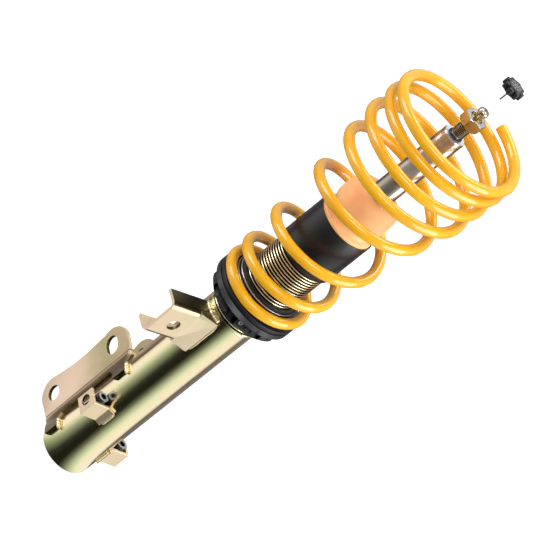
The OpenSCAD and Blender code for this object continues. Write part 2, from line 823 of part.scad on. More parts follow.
module gland_nut() {
    color(steel) on_strut() difference() {
        ring(rod_r + free_gap, inner_r, seal_top, tube_top);
        for (i = [0 : 3]) rotate([0, 0, i * 90])
            translate([(rod_r + inner_r) / 2, 0, tube_top - 4]) cylinder(r = 1.8, h = 5);
    }
}

module piston() {
    groove_h = piston_h / 2;
    color(steel) on_strut() difference() {
        translate([0, 0, piston_z]) cylinder(r = bore_r - 0.5, h = piston_h);
        translate([0, 0, piston_z - e]) cylinder(r = stem_r + fixed_gap, h = piston_h + 2 * e);
        translate([0, 0, piston_z + groove_h / 2])
            ring(bore_r - 2, bore_r + 1, 0, groove_h);
        for (i = [0 : 5]) rotate([0, 0, i * 60])
            translate([stem_r + 4, 0, piston_z - e]) cylinder(r = 1.5, h = piston_h + 2 * e);
    }
}

module piston_band() {
    low = piston_z + piston_h / 4 + fixed_gap;
    color(rubber) on_strut()
        ring(bore_r - 2 + fixed_gap, bore_r - running_gap, low, low + piston_h / 2 - 2 * fixed_gap);
}

module shims(low, first, second) {
    ring(stem_r + fixed_gap, first, low, low + 0.7);
    ring(stem_r + fixed_gap, second, low + 0.7, low + 1.4);
}

module compression_shims() {
    color(steel) on_strut() shims(piston_z - 1.4, bore_r - 6, bore_r - 3.5);
}

module rebound_shims() {
    color(steel) on_strut() shims(piston_z - 2.8, bore_r - 8, bore_r - 7);
}

module piston_nut() {
    color(steel) on_strut() translate([0, 0, stem_z + 1]) difference() {
        cylinder(r = 9.4, h = piston_z - 2.8 - stem_z - 1, $fn = 6);
        translate([0, 0, -e]) cylinder(r = stem_r + fixed_gap, h = 20);
    }
}

// ------------------------------------------------------------------ drawing

strut_tube();
threaded_sleeve();
knuckle_arm_front();
knuckle_arm_rear();
knuckle_brace();
link_bracket();
hose_bracket_front();
hose_bracket_rear();
hose_grommet_front();
hose_grommet_rear();
pressure_tube();
base_valve();
base_shims();
rod_guide();
guide_bush();
rod_seal();
gland_nut();
adjuster_collar();
collar_set_screw();
slip_washer();
spring_seat();
coil_spring();
dust_tube();
bump_stop();
piston_rod();
top_nut();
rebound_stop();
piston();
piston_band();
compression_shims();
rebound_shims();
piston_nut();
adjuster_needle();
knob();
knob_dial();
knob_pin();
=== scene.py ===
import math

import bpy
from mathutils import Matrix, Vector


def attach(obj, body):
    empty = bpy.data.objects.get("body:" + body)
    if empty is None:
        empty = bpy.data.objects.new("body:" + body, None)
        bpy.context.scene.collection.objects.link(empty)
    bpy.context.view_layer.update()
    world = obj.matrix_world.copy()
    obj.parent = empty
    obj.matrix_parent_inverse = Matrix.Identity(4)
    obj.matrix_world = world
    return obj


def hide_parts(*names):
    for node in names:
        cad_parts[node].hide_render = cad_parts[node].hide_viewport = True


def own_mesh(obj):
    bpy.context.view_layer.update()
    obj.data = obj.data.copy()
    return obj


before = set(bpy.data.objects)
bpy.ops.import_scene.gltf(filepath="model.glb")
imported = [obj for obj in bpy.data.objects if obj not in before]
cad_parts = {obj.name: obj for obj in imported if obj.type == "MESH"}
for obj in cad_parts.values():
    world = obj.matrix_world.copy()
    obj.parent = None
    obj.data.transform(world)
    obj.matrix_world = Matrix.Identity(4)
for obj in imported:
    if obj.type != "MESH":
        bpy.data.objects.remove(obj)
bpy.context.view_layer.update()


# ------------------------------------------------------------ strut tube
# The damper's housing: drawn steel tube with a closed, rounded foot, 51 mm
# across. It is yellow zinc plated, so its colour drifts from cream to pink and
# green with the film's thickness. The arms and brackets are welded to it.

MM = 0.001
AXIS_X = 45.0
FOOT_Z = -17.0
TUBE_R = 25.5
TUBE_BORE_R = 21.5
TUBE_FLOOR = 4
TUBE_NECK_R = 23.95
TUBE_END = 331
SLEEVE_Z = 225.0
TURNED_GAP = 2e-6
EDGE_ANGLE = 28
NOISE_SPAN = (0.3, 0.7)
BUMP_DEPTH = 0.0004


def shade(red, green, blue):
    """A colour as a paint chart gives it, turned into the renderer's linear light."""
    def part(v):
        v = v / 255.0
        return v / 12.92 if v <= 0.04045 else ((v + 0.055) / 1.055) ** 2.4
    return (part(red), part(green), part(blue), 1.0)


def up(height):
    """A height in mm from the tube's foot, as a height in metres in the frame."""
    return (FOOT_Z + height) * MM


def clear_choice():
    """Nothing selected, so that the next operator acts on its own piece alone."""
    bpy.ops.object.select_all(action="DESELECT")


def pick(obj):
    """One object selected and active."""
    clear_choice()
    obj.select_set(True)
    bpy.context.view_layer.objects.active = obj


def edit_all():
    """Edit mode, with the whole mesh selected."""
    bpy.ops.object.mode_set(mode="EDIT")
    bpy.ops.mesh.select_all(action="SELECT")


def close_mesh(gap):
    """Out of edit mode, with doubled points merged and all faces turned outwards."""
    bpy.ops.mesh.select_all(action="SELECT")
    bpy.ops.mesh.remove_doubles(threshold=gap)
    bpy.ops.mesh.normals_make_consistent(inside=False)
    bpy.ops.object.mode_set(mode="OBJECT")


def chain(outline, shift):
    """An outline in (radius, height) from the tube's foot, in mm, as a line of edges:
    one point, extruded from place to place. It is left in edit mode."""
    clear_choice()
    bpy.ops.mesh.primitive_plane_add(size=0.002, location=(0, 0, 0))
    edit_all()
    bpy.ops.mesh.merge(type="CENTER")
    places = [Vector(((shift + radius) * MM, 0, up(height))) for radius, height in outline]
    bpy.ops.transform.translate(value=places[0])
    for a, b in zip(places, places[1:]):
        bpy.ops.mesh.extrude_region_move(TRANSFORM_OT_translate={"value": b - a})
    return bpy.context.object


def eased(obj, width, steps=2, smooth=40):
    """Edges broken with a small round, then smooth shading up to the given angle."""
    pick(obj)
    if width:
        mod = obj.modifiers.new("broken_edges", "BEVEL")
        mod.width = width * MM
        mod.segments = steps
        mod.limit_method = "ANGLE"
        mod.angle_limit = math.radians(EDGE_ANGLE)
        bpy.ops.object.modifier_apply(modifier=mod.name)
    bpy.ops.object.shade_smooth_by_angle(angle=math.radians(smooth))


def turned(name, outline, cut=96, round_edges=0.0, smooth=40, looped=False):
    """A turned piece: its outline, spun about the strut's axis."""
    if looped:
        outline = outline + [outline[0]]
    obj = chain(outline, AXIS_X)
    bpy.ops.mesh.select_all(action="SELECT")
    bpy.ops.mesh.spin(steps=cut, angle=2 * math.pi, center=(AXIS_X * MM, 0, 0), axis=(0, 0, 1))
    close_mesh(TURNED_GAP)
    obj.name = name
    eased(obj, round_edges, smooth=smooth)
    return obj


def wiring(name):
    """A new material, with its nodes, its shader and object coordinates at hand."""
    mat = bpy.data.materials.new(name)
    mat.use_nodes = True
    nodes, links = mat.node_tree.nodes, mat.node_tree.links
    skin = nodes["Principled BSDF"]
    place = nodes.new("ShaderNodeTexCoord").outputs["Object"]
    return mat, nodes, links, skin, place


def grain(nodes, links, place, scale, detail, stretch=(1, 1, 1)):
    """Noise on object coordinates, stretched along the axes."""
    bed = nodes.new("ShaderNodeMapping")
    bed.inputs["Scale"].default_value = stretch
    links.new(place, bed.inputs["Vector"])
    noise = nodes.new("ShaderNodeTexNoise")
    noise.inputs["Scale"].default_value = scale
    noise.inputs["Detail"].default_value = detail
    links.new(bed.outputs["Vector"], noise.inputs["Vector"])
    return noise.outputs["Fac"]


def ramp(nodes, links, value, stops):
    """Colours along a value; each stop is put in at its own place."""
    band = nodes.new("ShaderNodeValToRGB")
    elements = band.color_ramp.elements
    elements[0].position, elements[0].color = stops[0]
    elements[-1].position, elements[-1].color = stops[-1]
    for position, colour in stops[1:-1]:
        elements.new(position).color = colour
    links.new(value, band.inputs["Fac"])
    return band.outputs["Color"]


def coloured(nodes, links, skin, value, stops):
    """The shader's base colour, from a ramp along a value."""
    links.new(ramp(nodes, links, value, stops), skin.inputs["Base Color"])


def span(nodes, links, value, reach, low=0.0, high=1.0):
    """A value's reach, stretched to run from low to high and held at both ends."""
    node = nodes.new("ShaderNodeMapRange")
    node.inputs["From Min"].default_value = reach[0]
    node.inputs["From Max"].default_value = reach[1]
    node.inputs["To Min"].default_value = low
    node.inputs["To Max"].default_value = high
    links.new(value, node.inputs["Value"])
    return node.outputs["Result"]


def worn(nodes, links, skin, value, low, high):
    """The shader's roughness, drifting with noise."""
    links.new(span(nodes, links, value, NOISE_SPAN, low, high), skin.inputs["Roughness"])


def raised(nodes, links, skin, value, height):
    """Fine relief along a value."""
    bump = nodes.new("ShaderNodeBump")
    bump.inputs["Strength"].default_value = height
    bump.inputs["Distance"].default_value = BUMP_DEPTH
    links.new(value, bump.inputs["Height"])
    links.new(bump.outputs["Normal"], skin.inputs["Normal"])


def wipe_marks(nodes, links, place):
    """Fine upright marks, as a cloth leaves them."""
    return grain(nodes, links, place, 900.0, 2.0, (1, 1, 0.06))


def yellow_zinc(name, cream, pink, green, rough, cloud_size=14.0, mark=1.0, metal=1.0):
    """Plated steel: the film's tints lie in soft clouds, with fine wipe marks."""
    mat, nodes, links, skin, place = wiring(name)
    cloud = grain(nodes, links, place, cloud_size, 3.0, (1, 1, 0.5))
    coloured(nodes, links, skin, cloud,
             [(0.30, green), (0.46, cream), (0.58, cream), (0.74, pink)])
    wipe = wipe_marks(nodes, links, place)
    worn(nodes, links, skin, wipe, rough - 0.04 * mark, rough + 0.05 * mark)
    skin.inputs["Metallic"].default_value = metal
    raised(nodes, links, skin, wipe, 0.04 * mark)
    return mat


def dress(obj, material):
    """One finish all over a piece."""
    obj.data.materials.clear()
    obj.data.materials.append(material)


ZINC_TUBE = yellow_zinc("yellow_zinc_tube", shade(250, 235, 194), shade(250, 228, 200),
                        shade(236, 236, 184), rough=0.17)

tube_foot = [(0, 0), (22.4, 0), (23.9, 0.4), (25.0, 1.4), (TUBE_R, 3.0)]
tube_step = [(TUBE_R, SLEEVE_Z - 0.3), (TUBE_R - 0.3, SLEEVE_Z), (TUBE_NECK_R, SLEEVE_Z)]
tube_bore = [(TUBE_NECK_R, TUBE_END), (TUBE_BORE_R, TUBE_END),
             (TUBE_BORE_R, TUBE_FLOOR), (0, TUBE_FLOOR)]
tube = turned("strut_housing", tube_foot + tube_step + tube_bore, cut=128)
dress(tube, ZINC_TUBE)
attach(tube, "strut")
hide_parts("strut_tube")


# ------------------------------------------------------- threaded sleeve
# A sleeve pressed over the tube's upper half, cut with a round-crested thread
# of 3 mm lead that carries the spring's perch. Same plating as the tube.

THREAD_LEAD = 3.0
THREAD_TURNS = 32
THREAD_BITE = 0.15
CREST_R = 26.2
ROOT_R = 25.15
SLEEVE_BORE_R = 24.0
SLEEVE_RIM_R = 25.4
SLEEVE_RIM = 1.8
SLEEVE_END = 323.0
THREAD_POINTS = 8
THREAD_CUT = 72
CREST_FLAT = 0.1


def threaded(name, crest, root, low, lead, turns):
    """A thread: one lead of its outline with a flat crest, screwed upwards."""
    shape = []
    for i in range(THREAD_POINTS + 1):
        wave = 0.5 - 0.5 * math.cos(2 * math.pi * i / THREAD_POINTS)
        radius = root + (crest - root) * min(1.0, wave * (1 + CREST_FLAT))
        shape.append((radius, low + lead * i / THREAD_POINTS))
    obj = chain(shape, 0.0)
    bpy.ops.object.mode_set(mode="OBJECT")
    obj.name = name
    mod = obj.modifiers.new("thread", "SCREW")
    mod.axis = "Z"
    mod.screw_offset = lead * MM
    mod.iterations = turns
    mod.steps = THREAD_CUT
    mod.render_steps = THREAD_CUT
    mod.use_merge_vertices = True
    mod.merge_threshold = 1e-6
    bpy.ops.object.modifier_apply(modifier=mod.name)
    edit_all()
    bpy.ops.transform.translate(value=(AXIS_X * MM, 0, 0))
    close_mesh(TURNED_GAP)
    eased(obj, 0, smooth=50)
    return obj


def from_axis(nodes, links, place):
    """Object coordinates, counted from the strut's axis."""
    centre = nodes.new("ShaderNodeMapping")
    centre.inputs["Location"].default_value = (-AXIS_X * MM, 0, 0)
    links.new(place, centre.inputs["Vector"])
    return centre.outputs["Vector"]


def axis_distance(nodes, links, centred):
    """How far a place lies from the strut's axis."""
    level = nodes.new("ShaderNodeVectorMath")
    level.operation = "MULTIPLY"
    level.inputs[1].default_value = (1, 1, 0)
    links.new(centred, level.inputs[0])
    radius = nodes.new("ShaderNodeVectorMath")
    radius.operation = "LENGTH"
    links.new(level.outputs["Vector"], radius.inputs[0])
    return radius.outputs["Value"]


def thread_with_painted_shade(name, groove_shade, flank_shade, crest_colour, root, crest, rough):
    """A cut thread: painted shade darkens the grooves and, less, the flanks, and the crests stay
    bright.
    """
    mat, nodes, links, skin, place = wiring(name)
    radius = axis_distance(nodes, links, from_axis(nodes, links, place))
    depth = span(nodes, links, radius, (root * MM, crest * MM))
    coloured(nodes, links, skin, depth,
             [(0.0, groove_shade), (0.45, groove_shade), (0.8, flank_shade), (0.93, crest_colour)])
    skin.inputs["Metallic"].default_value = 1.0
    skin.inputs["Roughness"].default_value = rough
    return mat


def capped(obj, material, wanted):
    """A second finish on the faces that the test picks, by place and normal."""
    obj.data.materials.append(material)
    for face in obj.data.polygons:
        if wanted(face.center, face.normal):
            face.material_index = len(obj.data.materials) - 1


def joined(name, parts):
    """Several meshes made one."""
    pick(parts[0])
    for other in parts[1:]:
        other.select_set(True)
    bpy.ops.object.join()
    parts[0].name = name
    return parts[0]


core = turned("sleeve_core",
              [(SLEEVE_BORE_R, SLEEVE_Z), (SLEEVE_RIM_R, SLEEVE_Z),
               (SLEEVE_RIM_R, SLEEVE_Z + SLEEVE_RIM - 0.6), (ROOT_R, SLEEVE_Z + SLEEVE_RIM),
               (ROOT_R, SLEEVE_END - 2.2), (ROOT_R - 0.3, SLEEVE_END - 0.6),
               (SLEEVE_BORE_R + 0.6, SLEEVE_END), (SLEEVE_BORE_R, SLEEVE_END)],
              looped=True)
crests = threaded("sleeve_thread", CREST_R, ROOT_R - THREAD_BITE, SLEEVE_Z + 0.4,
                  THREAD_LEAD, THREAD_TURNS)
sleeve = joined("threaded_sleeve_cut", [core, crests])
# painted shade in the sleeve thread's grooves
dress(sleeve, thread_with_painted_shade("zinc_thread_painted_shade", shade(34, 28, 18), shade(150, 124, 78),
                         shade(250, 238, 206), ROOT_R - THREAD_BITE, CREST_R, rough=0.24))
capped(sleeve, ZINC_TUBE, lambda at, way: at.z < up(SLEEVE_Z + SLEEVE_RIM + 0.1))
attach(sleeve, "strut")
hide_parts("threaded_sleeve")


# -------------------------------------------------------- knuckle bracket
# Two pressed steel arms, mirror images, each with a round bolt hole below and
# a slot for camber above. Their straps lie round the tube and are welded to
# it; a plate between the arms, behind the tube, holds them apart. Zinc plated.

# places on the arms are the frame's own, from the middle of the lower bolt hole
BEND_X = 17.5
WEB_WIDTH = 11.0
ARM_LOW, ARM_HIGH = -16, 100
CAMBER_SLOT_Z = 79.5
ARM_HOLE_REACH = 9.8
STRAP_X = 30.0
COPY_GAP = 4e-6


def cleaned_copy(node, name, width, steps=2, smooth=40, flat=False):
    """A pressed or machined piece: the solid's own form, its doubled points merged,
    its flat faces made whole, and its edges broken. Flat keeps sheet faces even."""
    pick(bpy.data.objects[node])
    bpy.ops.object.duplicate()
    obj = bpy.context.object
    obj.name = name
    edit_all()
    bpy.ops.mesh.remove_doubles(threshold=COPY_GAP)
    bpy.ops.mesh.dissolve_limited(angle_limit=math.radians(1.0))
    bpy.ops.object.mode_set(mode="OBJECT")
    eased(obj, width, steps, smooth)
    if flat:
        mod = obj.modifiers.new("flat_faces", "WEIGHTED_NORMAL")
        mod.keep_sharp = True
        mod.weight = 80
        bpy.ops.object.modifier_apply(modifier=mod.name)
    return obj


def maths(nodes, links, kind, a, b):
    """One step of arithmetic on a value; b is another value or a plain number."""
    step = nodes.new("ShaderNodeMath")
    step.operation = kind
    links.new(a, step.inputs[0])
    if isinstance(b, float):
        step.inputs[1].default_value = b
    else:
        links.new(b, step.inputs[1])
    return step.outputs[0]


def zinc_with_painted_shade(name, side, low, high, stops, rough, metal):
    """Plated sheet with painted light and shade laid across the piece along one axis, drifting a
    little with soft clouds.
    """
    mat, nodes, links, skin, place = wiring(name)
    sides = nodes.new("ShaderNodeSeparateXYZ")
    links.new(place, sides.inputs[0])
    across = span(nodes, links, sides.outputs[side], (low * MM, high * MM))
    cloud = grain(nodes, links, place, 32.0, 2.0)
    drift = span(nodes, links, cloud, NOISE_SPAN, -0.06, 0.06)
    coloured(nodes, links, skin, maths(nodes, links, "ADD", across, drift), stops)
    worn(nodes, links, skin, wipe_marks(nodes, links, place), rough - 0.02, rough + 0.02)
    skin.inputs["Metallic"].default_value = metal
    return mat


# painted shade: the arms are lighter at the foot and darker higher up
ZINC_ARM_PAINTED_SHADE = zinc_with_painted_shade("yellow_zinc_arm_painted_shade", "Z", ARM_LOW, ARM_HIGH,
                       [(0.0, shade(252, 226, 200)), (0.36, shade(250, 222, 194)),
                        (0.55, shade(220, 198, 162)), (0.74, shade(190, 178, 136)),
                        (1.0, shade(206, 180, 144))], rough=0.4, metal=0.35)
# painted shade across the web: a dark line at the bend, a light band beside it, darker towards the
# tube
ZINC_WEB_PAINTED_SHADE = zinc_with_painted_shade("yellow_zinc_web_painted_shade", "X", BEND_X, BEND_X + WEB_WIDTH,
                       [(0.0, shade(84, 70, 50)), (0.1, shade(120, 102, 76)),
                        (0.18, shade(214, 188, 158)), (0.45, shade(190, 164, 134)),
                        (0.72, shade(118, 102, 78)), (1.0, shade(108, 94, 70))],
                       rough=0.36, metal=0.5)
# painted shade: dark plated steel for strap ends, hole walls and undersides
ZINC_PAINTED_SHADE = yellow_zinc("yellow_zinc_painted_shade", shade(74, 66, 44), shade(84, 70, 50),
                         shade(56, 56, 32), rough=0.3, cloud_size=40.0, mark=0.3, metal=0.9)


def arm_hole(at, way):
    """The wall of an arm's bolt hole, or of its camber slot."""
    low = math.hypot(at.x, at.z)
    high = math.hypot(at.x, at.z - CAMBER_SLOT_Z * MM)
    return min(low, high) < ARM_HOLE_REACH * MM and abs(way.y) < 0.3


def strap_edge(at, way):
    """The cut edges of the straps, which look away from the bolt holes."""
    return way.x > 0.7 and at.x > STRAP_X * MM


for node in ("knuckle_arm_front", "knuckle_arm_rear", "knuckle_brace"):
    arm = cleaned_copy(node, node + "_pressed", 0.5, smooth=16, flat=True)
    dress(arm, ZINC_ARM_PAINTED_SHADE)
    # painted shade on the web, from the bend to the tube
    capped(arm, ZINC_WEB_PAINTED_SHADE, lambda at, way: at.x > (BEND_X + 0.05) * MM)
    # painted shade on the straps' cut edges and in the bolt holes and camber slots
    capped(arm, ZINC_PAINTED_SHADE, lambda at, way: strap_edge(at, way) or arm_hole(at, way))
    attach(arm, "strut")
    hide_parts(node)


# ---------------------------------------------------- brackets on the tube
# A pressed channel for the anti-roll bar link, welded on high up, and two
# small folded angles for hoses, one on each side. Zinc plated with the tube; a
# painted dark reflection lies on the lip, painted shade on the fold, the underside
# and the walls of the holes, and painted light on the foot's slanted side.

LINK_LIP_Z = 217.0
LINK_FOLD_Z = 207.0
LINK_UNDER_Z = 187.0
# each hole's middle in the frame, its axis, and how far its wall may lie from that
BRACKET_HOLES = {"link_bracket": ((59.25, -49.48, 180.8), (0.9945, 0.1045, 0), 6.6),
                 "hose_bracket_front": ((52.65, -37.75, 56.5), (0, 1, 0), 5.5),
                 "hose_bracket_rear": ((52.65, 37.75, 12.5), (0, 1, 0), 5.5)}

ZINC_PRESSED = yellow_zinc("yellow_zinc_pressed", shade(226, 203, 171), shade(230, 197, 176),
                           shade(208, 203, 163), rough=0.38, cloud_size=26.0, mark=0.3, metal=0.7)
# a painted dark reflection for the upper lip
ZINC_LIP_PAINTED_REFLECTION = yellow_zinc("yellow_zinc_lip_painted_reflection", shade(88, 80, 52), shade(96, 84, 58),
                       shade(66, 66, 40), rough=0.3, cloud_size=40.0, mark=0.3, metal=0.9)
# painted light for the foot's slanted side, to hide its fold
ZINC_FOOT_PAINTED_LIGHT = yellow_zinc("yellow_zinc_foot_painted_light", shade(234, 209, 182), shade(236, 203, 184),
                        shade(220, 210, 174), rough=0.38, cloud_size=26.0, mark=0.3, metal=0.7)
# painted shade for the fold, rougher to dim its glare
ZINC_FOLD_PAINTED_SHADE = yellow_zinc("yellow_zinc_fold_painted_shade", shade(210, 188, 152), shade(214, 183, 156),
                        shade(198, 190, 146), rough=0.5, cloud_size=26.0, mark=0.3, metal=0.6)


def bracket_hole(node, at, way):
    """The wall of a bracket's one hole."""
    middle, axis, reach = BRACKET_HOLES[node]
    axis = Vector(axis)
    off = at - Vector(middle) * MM
    return abs(way.dot(axis)) < 0.3 and (off - axis * off.dot(axis)).length < reach * MM


for node in BRACKET_HOLES:
    bracket = cleaned_copy(node, node + "_pressed", 0.45, smooth=24, flat=True)
    dress(bracket, ZINC_PRESSED)
    if node == "link_bracket":
        # painted light on the foot's slanted side, a painted dark reflection on the upper lip, and
        # painted shade on its fold and on the underside
        capped(bracket, ZINC_FOOT_PAINTED_LIGHT, lambda at, way: 0.25 < -way.y < 0.95 and way.x > 0.3)
        capped(bracket, ZINC_LIP_PAINTED_REFLECTION, lambda at, way: way.z > 0.7 and at.z > up(LINK_LIP_Z))
        capped(bracket, ZINC_FOLD_PAINTED_SHADE, lambda at, way: 0.15 < way.z <= 0.7 and at.z > up(LINK_FOLD_Z))
        capped(bracket, ZINC_PAINTED_SHADE, lambda at, way: way.z < -0.2 and at.z < up(LINK_UNDER_Z))
    # painted shade on the wall of the bracket's hole
    capped(bracket, ZINC_PAINTED_SHADE, lambda at, way: bracket_hole(node, at, way))
    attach(bracket, "strut")
    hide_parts(node)


# ------------------------------------------------------------- weld beads
# Hand-laid welds of overlapping puddles: along the arms' straps, the lips and
# the foot of the link bracket, and the hose brackets. Zinc plated after welding.

STRAP_WELDS = (24.3, 115.3)
LIP_WELDS = (178.6, 221.2)
FOOT_WELD = (183.0, 217.0)
HOSE_WELDS = ((-37.5, (66.0, 81.0)), (37.5, (22.0, 37.0)))
PUDDLE_CUT = 6
SWEPT_GAP = 1e-6


def swept(name, points, radius, rounding, smooth, twist="MINIMUM"):
    """A round bar along a line of points, each a place in metres and a share of the
    radius, closed at both ends."""
    clear_choice()
    bpy.ops.curve.primitive_nurbs_path_add(location=(0, 0, 0))
    bar = bpy.context.object
    bar.name = name
    bar.data.splines.clear()
    line = bar.data.splines.new("POLY")
    line.points.add(len(points) - 1)
    for point, (place, share) in zip(line.points, points):
        point.co = (*place, 1.0)
        point.radius = share
    bar.data.dimensions = "3D"
    bar.data.twist_mode = twist
    bar.data.bevel_depth = radius * MM
    bar.data.bevel_resolution = rounding
    bar.data.use_fill_caps = True
    pick(bar)
    bpy.ops.object.convert(target="MESH")
    bar = bpy.context.object
    edit_all()
    close_mesh(SWEPT_GAP)
    eased(bar, 0, smooth=smooth)
    return bar


def weld_bead(name, path, radius, pitch):
    """A weld laid along a path, in mm from the tube's foot: one puddle for each pitch,
    and thin ends."""
    places = [path[0]]
    for a, b in zip(path, path[1:]):
        count = max(1, round((b - a).length / (pitch / PUDDLE_CUT)))
        places += [a.lerp(b, i / count) for i in range(1, count + 1)]
    points = []
    for i, at in enumerate(places):
        from_end = min(i, len(places) - 1 - i)
        puddle = 0.80 + 0.20 * abs(math.cos(math.pi * i / PUDDLE_CUT))
        share = puddle * min(1.0, 0.35 + 0.25 * from_end)
        points.append((((AXIS_X + at.x) * MM, at.y * MM, up(at.z)), share))
    return swept(name, points, radius, rounding=3, smooth=60)


def on_tube(angle, height, reach):
    """A place on the tube's skin, in mm from its foot."""
    turn = math.radians(angle)
    return Vector((reach * math.cos(turn), reach * math.sin(turn), height))


ZINC_WELD = yellow_zinc("yellow_zinc_weld", shade(232, 216, 178), shade(236, 206, 176),
                        shade(190, 188, 142), rough=0.34, cloud_size=120.0, metal=0.75)
beads = []
for side in (-1, 1):
    for height in STRAP_WELDS:
        path = [on_tube(side * angle, height, 27.0) for angle in range(84, 119, 5)]
        beads.append(weld_bead("strap_bead", path, radius=2.0, pitch=3.6))
for height in LIP_WELDS:
    path = [on_tube(angle, height, 26.6) for angle in range(-100, -49, 5)]
    beads.append(weld_bead("lip_bead", path, radius=2.2, pitch=5.0))
path = [on_tube(-45.0, height, 26.0) for height in FOOT_WELD]
beads.append(weld_bead("foot_bead", path, radius=1.3, pitch=9.0))
for angle, ends in HOSE_WELDS:
    path = [on_tube(angle, height, 26.0) for height in ends]
    beads.append(weld_bead("hose_bead", path, radius=1.2, pitch=3.0))
welds = joined("weld_beads", beads)
dress(welds, ZINC_WELD)
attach(welds, "strut")


# ---------------------------------------------------------- hose grommets
# Two dark rubber rings, moulded and pushed into the hose brackets' holes. Their
# upward faces are painted grey-blue as a highlight.

def darker(colour, share):
    """A colour with less light, or with more where the share is over one."""
    return tuple(c * share for c in colour[:3]) + (1,)


def rubber_moulding(name, colour, rough, height):
    """Moulded rubber with a fine, uneven skin."""
    mat, nodes, links, skin, place = wiring(name)
    fine = grain(nodes, links, place, 900.0, 4.0)
    coloured(nodes, links, skin, fine, [(0.3, darker(colour, 0.8)), (0.7, colour)])
    skin.inputs["Roughness"].default_value = rough
    raised(nodes, links, skin, fine, height)
    return mat


GLOSSY_RUBBER = rubber_moulding("glossy_rubber", shade(30, 28, 30), 0.2, 0.03)
GREY_RUBBER_HIGHLIGHT = rubber_moulding("grey_rubber_painted_highlight", shade(128, 138, 146), 0.25, 0.03)
for node in ("hose_grommet_front", "hose_grommet_rear"):
    grommet = cleaned_copy(node, node + "_moulded", 0.6, steps=3)
    dress(grommet, GLOSSY_RUBBER)
    # painted highlight on the upward faces
    capped(grommet, GREY_RUBBER_HIGHLIGHT, lambda at, way: way.z > 0.9)
    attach(grommet, "strut")
    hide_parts(node)


# ------------------------------------------------------- adjuster collar
# A turned aluminium ring, black anodised, with spanner notches in its body, a
# chamfer below and a smooth rim above. It runs on the sleeve's thread, and a
# steel socket screw in its rim locks it.

COLLAR_RIM_Z = 248.5


def black_anodised(name, colour, rough):
    """Anodised turning: faint tool rings round the axis under a satin black."""
    mat, nodes, links, skin, place = wiring(name)
    rings = grain(nodes, links, place, 60.0, 2.0, (0.02, 0.02, 60.0))
    coloured(nodes, links, skin, rings, [(0.3, darker(colour, 0.75)), (0.7, darker(colour, 1.2))])
    skin.inputs["Metallic"].default_value = 0.35
    skin.inputs["Roughness"].default_value = rough
    raised(nodes, links, skin, rings, 0.01)
    return mat


def bright_steel(name, colour, rough):
    """Turned or ground steel, bare, with faint rings."""
    mat, nodes, links, skin, place = wiring(name)
    rings = grain(nodes, links, place, 70.0, 2.0, (0.05, 0.05, 50.0))
    coloured(nodes, links, skin, rings, [(0.3, darker(colour, 0.85)), (0.7, colour)])
    skin.inputs["Metallic"].default_value = 1.0
    skin.inputs["Roughness"].default_value = rough
    return mat


ANODISED = black_anodised("black_anodised", shade(38, 38, 42), 0.38)
COLLAR_PAINTED_SHADE = black_anodised("collar_black_painted_shade", shade(17, 17, 18), 0.46)
# bare steel, also painted on the hub's edge and the nut's top as a highlight
STEEL_AND_HIGHLIGHT = bright_steel("machined_steel_and_painted_highlight", shade(206, 206, 208), 0.3)

collar = cleaned_copy("adjuster_collar", "adjuster_collar_turned", 0.35)
dress(collar, ANODISED)
# painted shade: below the rim the body and its notches are a deeper black, so their facets stop
# catching light
capped(collar, COLLAR_PAINTED_SHADE, lambda at, way: at.z < up(COLLAR_RIM_Z - 0.2))
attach(collar, "collar")
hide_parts("adjuster_collar")

grub = cleaned_copy("collar_set_screw", "collar_socket_screw", 0.2)
dress(grub, STEEL_AND_HIGHLIGHT)
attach(grub, "collar")
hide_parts("collar_set_screw")


# ------------------------------------------------------------ spring seat
# A turned and anodised aluminium ring that centres the spring with a raised
# hub, painted bright steel round its top as a highlight. It lies on the collar
# with a plastic slip washer between.

HUB_EDGE_Z = 259.5
HUB_EDGE_IN, HUB_EDGE_OUT = 31.2, 33.0


def hub_highlight_edge(at, way):
    """The hub's top edge, painted bright steel as a highlight."""
    reach = math.hypot(at.x - AXIS_X * MM, at.y)
    return at.z > up(HUB_EDGE_Z) and HUB_EDGE_IN * MM < reach < HUB_EDGE_OUT * MM


SEAT_BLACK = black_anodised("seat_black", shade(32, 32, 35), 0.42)
BLACK_RUBBER = rubber_moulding("black_rubber", shade(48, 48, 52), 0.55, 0.12)

seat = cleaned_copy("spring_seat", "spring_seat_turned", 0.4)
dress(seat, SEAT_BLACK)
# painted highlight round the hub's top edge
capped(seat, STEEL_AND_HIGHLIGHT, hub_highlight_edge)
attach(seat, "perch")
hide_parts("spring_seat")

dress(bpy.data.objects["slip_washer"], BLACK_RUBBER)


# ------------------------------------------------------------ coil spring
# Wire of 9.8 mm wound to the right: a closed end coil on the seat, a growing
# barrel, and close turns at the top that settle first. Powder coated yellow.

WIRE_R = 4.9
COIL_Z = 263.47
COIL_LOW_R = 38.6
COIL_TOP_R = 59.4
COIL_GROWTH = 4.15
COIL_RISES = [27.7, 42.1, 58.7, 38.7, 25.8, 21.6, 14.1, 14.1]
COIL_LIFT = 20.0
COIL_FROM, COIL_TO = -0.5, 7.45
COIL_FROM_ANGLE = -45
COIL_CUT = 56


def coil_rate(k):
    """The wire's slope where turn k begins, in mm to a turn."""
    if k <= 0:
        return COIL_LIFT
    return (COIL_RISES[k - 1] + COIL_RISES[min(k, len(COIL_RISES) - 1)]) / 2


def coil_height(u):
    """The wire's rise after u turns: a smooth curve through each turn's own rise."""
    if u <= 0:
        return 0.0
    k = int(math.floor(u))
    t = u - k
    return (sum(COIL_RISES[:k]) + COIL_RISES[k] * t * t * (3 - 2 * t)
            + coil_rate(k) * t * (1 - t) ** 2 - coil_rate(k + 1) * t * t * (1 - t))


